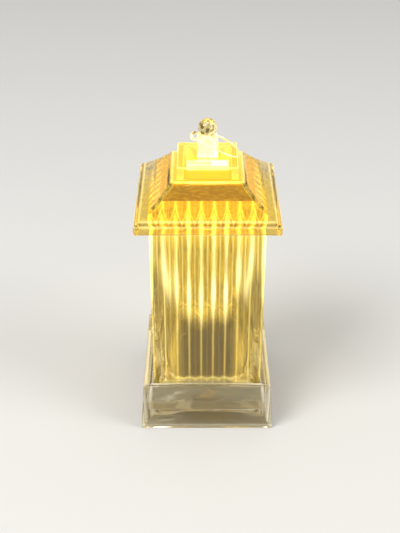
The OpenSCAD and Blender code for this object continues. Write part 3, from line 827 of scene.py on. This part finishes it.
class LANTERN_OT_module(bpy.types.Operator):
    """Dress the light module's case, its plate and its battery door"""

    bl_idname = "lantern.module"
    bl_label = "Light module"

    def execute(self, context):
        look = context.scene.lantern_clear
        module = context.scene.lantern_module
        finish = module_plastic("module_case_plastic", module)
        case = rounded("module_case", "module_case_moulding", look.edge, "top", 0.001)
        dress(case, finish)
        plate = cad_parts["module_plate"]
        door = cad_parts["battery_door"]
        dress(plate, finish)
        dress(door, finish)
        return {"FINISHED"}


class LANTERN_OT_lamp(bpy.types.Operator):
    """Dress the lamp, its bezel and the switch knob"""

    bl_idname = "lantern.lamp"
    bl_label = "Lamp and switch"

    def execute(self, context):
        look = context.scene.lantern_clear
        module = context.scene.lantern_module
        colours = context.scene.lantern_electrics
        lamp = rounded("lamp", "lamp_moulding", 0.0, "top")
        dress(lamp, lens_plastic(module))
        knob = rounded("switch_knob", "switch_knob_moulding", look.ridge, "knob")
        dress(knob, knob_plastic(module))
        dress(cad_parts["lamp_bezel"], plain_plastic("bezel_plastic", colours.bezel, 0.9, 0.15))
        dress(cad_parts["switch_body"], housing_plastic(colours, module))
        return {"FINISHED"}


class LANTERN_OT_cells(bpy.types.Operator):
    """Dress the button cells, their contacts and the spring"""

    bl_idname = "lantern.cells"
    bl_label = "Cells and contacts"

    def execute(self, context):
        colours = context.scene.lantern_metal
        finish = cell_metal(colours)
        edge = 0.0003
        for number in (1, 2, 3):
            name = f"button_cell_{number}"
            dress(rounded(name, f"{name}_can", edge, "top"), finish)
        plate = metal("contact_plate", colours.nickel, colours.tarnish, 0.2)
        for name in ("positive_contact", "negative_contact", "cell_spring"):
            dress(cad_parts[name], plate)
        return {"FINISHED"}


class LANTERN_OT_board(bpy.types.Operator):
    """Dress the board, the resistor and the wires, and solder them"""

    bl_idname = "lantern.board"
    bl_label = "Board and wires"

    def execute(self, context):
        colours = context.scene.lantern_electrics
        metals = context.scene.lantern_metal
        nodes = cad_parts
        dress(nodes["circuit_board"], board_mask(colours))
        dress(nodes["resistor"], resistor_paint(colours))
        dress(nodes["red_wire"], plain_plastic("red_insulation", colours.red, 0.85, 0.3))
        dress(nodes["black_wire"], plain_plastic("black_insulation", colours.black, 0.8, 0.3))
        self.solder(metals)
        return {"FINISHED"}

    def solder(self, metals):
        """One small dome of solder on the board over each lead."""
        board_low, board_high = BOX["circuit_board"]
        lamp_low, lamp_high = BOX["lamp"]
        lamp_y = (lamp_low.y + lamp_high.y) / 2
        lead = 0.00127
        end = 0.0021
        resistor_low, resistor_high = BOX["resistor"]
        resistor_x = (resistor_low.x + resistor_high.x) / 2
        resistor_y = (resistor_low.y + resistor_high.y) / 2
        feet = [(-lead, lamp_y), (lead, lamp_y)]
        feet += [(resistor_x, resistor_y - end), (resistor_x, resistor_y + end)]
        dome = [(0.00055, 0.0), (0.0005, 0.00012), (0.00035, 0.00028), (0.00015, 0.00038)]
        solid = bmesh.new()
        for x, y in feet:
            lathe(dome, Vector((x, y, board_high.z)), 16, solid)
        mesh = bpy.data.meshes.new("solder_joints")
        solid.to_mesh(mesh)
        solid.free()
        mesh.polygons.foreach_set("use_smooth", [True] * len(mesh.polygons))
        piece = link("solder_joints", mesh)
        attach(piece, "top")
        dress(piece, metal("solder", metals.solder, metals.tarnish, 0.25))


class LANTERN_OT_fixings(bpy.types.Operator):
    """Dress the screws and the door's hinge pin"""

    bl_idname = "lantern.fixings"
    bl_label = "Screws and pin"

    def execute(self, context):
        colours = context.scene.lantern_metal
        finish = metal("plain_steel", colours.steel, colours.tarnish, 0.3)
        for name in ("case_screws", "door_hinge_pin"):
            dress(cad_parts[name], finish)
        return {"FINISHED"}


class LANTERN_OT_stage(bpy.types.Operator):
    """Make the floor, the studio light and the camera"""

    bl_idname = "lantern.stage"
    bl_label = "Stage"

    def execute(self, context):
        look = context.scene.lantern_stage
        self.lay_floor(look)
        self.light_world(context, look)
        self.hang_lamp(look.key_watts, 0.6, Vector((-0.6, -0.5, 0.9)))
        self.hang_lamp(look.fill_watts, 0.5, Vector((0.8, -0.3, 0.6)))
        self.place_camera(context, look)
        context.scene.view_settings.view_transform = "Standard"
        context.scene.cycles.max_bounces = 24
        context.scene.cycles.transmission_bounces = 20
        context.scene.cycles.glossy_bounces = 12
        return {"FINISHED"}

    def lay_floor(self, look):
        """A plain floor just under the lantern."""
        reach = 3.0
        drop = 0.0001
        solid = bmesh.new()
        bmesh.ops.create_grid(solid, x_segments=1, y_segments=1, size=reach)
        mesh = bpy.data.meshes.new("floor")
        solid.to_mesh(mesh)
        solid.free()
        floor = link("floor", mesh)
        floor.location.z = -drop
        dress(floor, floor_finish(look))

    def light_world(self, context, look):
        """Even light from all round."""
        world = bpy.data.worlds.new("studio")
        world.use_nodes = True
        background = world.node_tree.nodes["Background"]
        background.inputs["Color"].default_value = (*look.sky, 1.0)
        background.inputs["Strength"].default_value = look.sky_strength
        context.scene.world = world

    def hang_lamp(self, watts, size, place):
        """A soft square lamp that points at the lantern's foot."""
        lamp = bpy.data.lights.new("studio_lamp", "AREA")
        lamp.energy = watts
        lamp.size = size
        made = bpy.data.objects.new("studio_lamp", lamp)
        bpy.context.scene.collection.objects.link(made)
        made.location = place
        made.rotation_euler = (-place).to_track_quat("-Z", "Y").to_euler()

    def place_camera(self, context, look):
        """The camera at the photograph's angle."""
        sensor = 36.0
        frame_height = 533.0
        target = Vector((-0.00281, 0.0, 0.06146))
        camera = bpy.data.cameras.new("camera")
        camera.sensor_width = sensor
        camera.lens = look.focal / frame_height * sensor
        camera.clip_start = 0.01
        made = bpy.data.objects.new("camera", camera)
        context.scene.collection.objects.link(made)
        back = Vector((0.0, -math.cos(look.pitch), math.sin(look.pitch)))
        made.location = target + back * look.distance
        made.rotation_euler = (math.pi / 2 - look.pitch, 0.0, 0.0)
        context.scene.camera = made


OPERATORS = (
    LANTERN_OT_base,
    LANTERN_OT_body,
    LANTERN_OT_roof,
    LANTERN_OT_ring,
    LANTERN_OT_module,
    LANTERN_OT_lamp,
    LANTERN_OT_cells,
    LANTERN_OT_board,
    LANTERN_OT_fixings,
    LANTERN_OT_stage,
)


class LANTERN_PT_sidebar(bpy.types.Panel):
    """The lantern's pieces and their settings"""

    bl_label = "Lantern"
    bl_space_type = "VIEW_3D"
    bl_region_type = "UI"
    bl_category = "Lantern"

    def draw(self, context):
        layout = self.layout
        for operator in OPERATORS:
            layout.operator(operator.bl_idname)
        for name, group in GROUPS.items():
            box = layout.box()
            settings = getattr(context.scene, name)
            for key in group.__annotations__:
                box.prop(settings, key)


def register():
    """Adds the settings, the operators and the panel."""
    for name, group in GROUPS.items():
        bpy.utils.register_class(group)
        setattr(bpy.types.Scene, name, PointerProperty(type=group))
    for made in (*OPERATORS, LANTERN_PT_sidebar):
        bpy.utils.register_class(made)


def unregister():
    """Takes away what register() added."""
    for made in reversed((*OPERATORS, LANTERN_PT_sidebar)):
        bpy.utils.unregister_class(made)
    for name, group in reversed(GROUPS.items()):
        delattr(bpy.types.Scene, name)
        bpy.utils.unregister_class(group)


def main():
    """Dresses the whole lantern."""
    register()
    for operator in OPERATORS:
        group, name = operator.bl_idname.split(".")
        getattr(getattr(bpy.ops, group), name)()


if __name__ == "__main__":
    main()
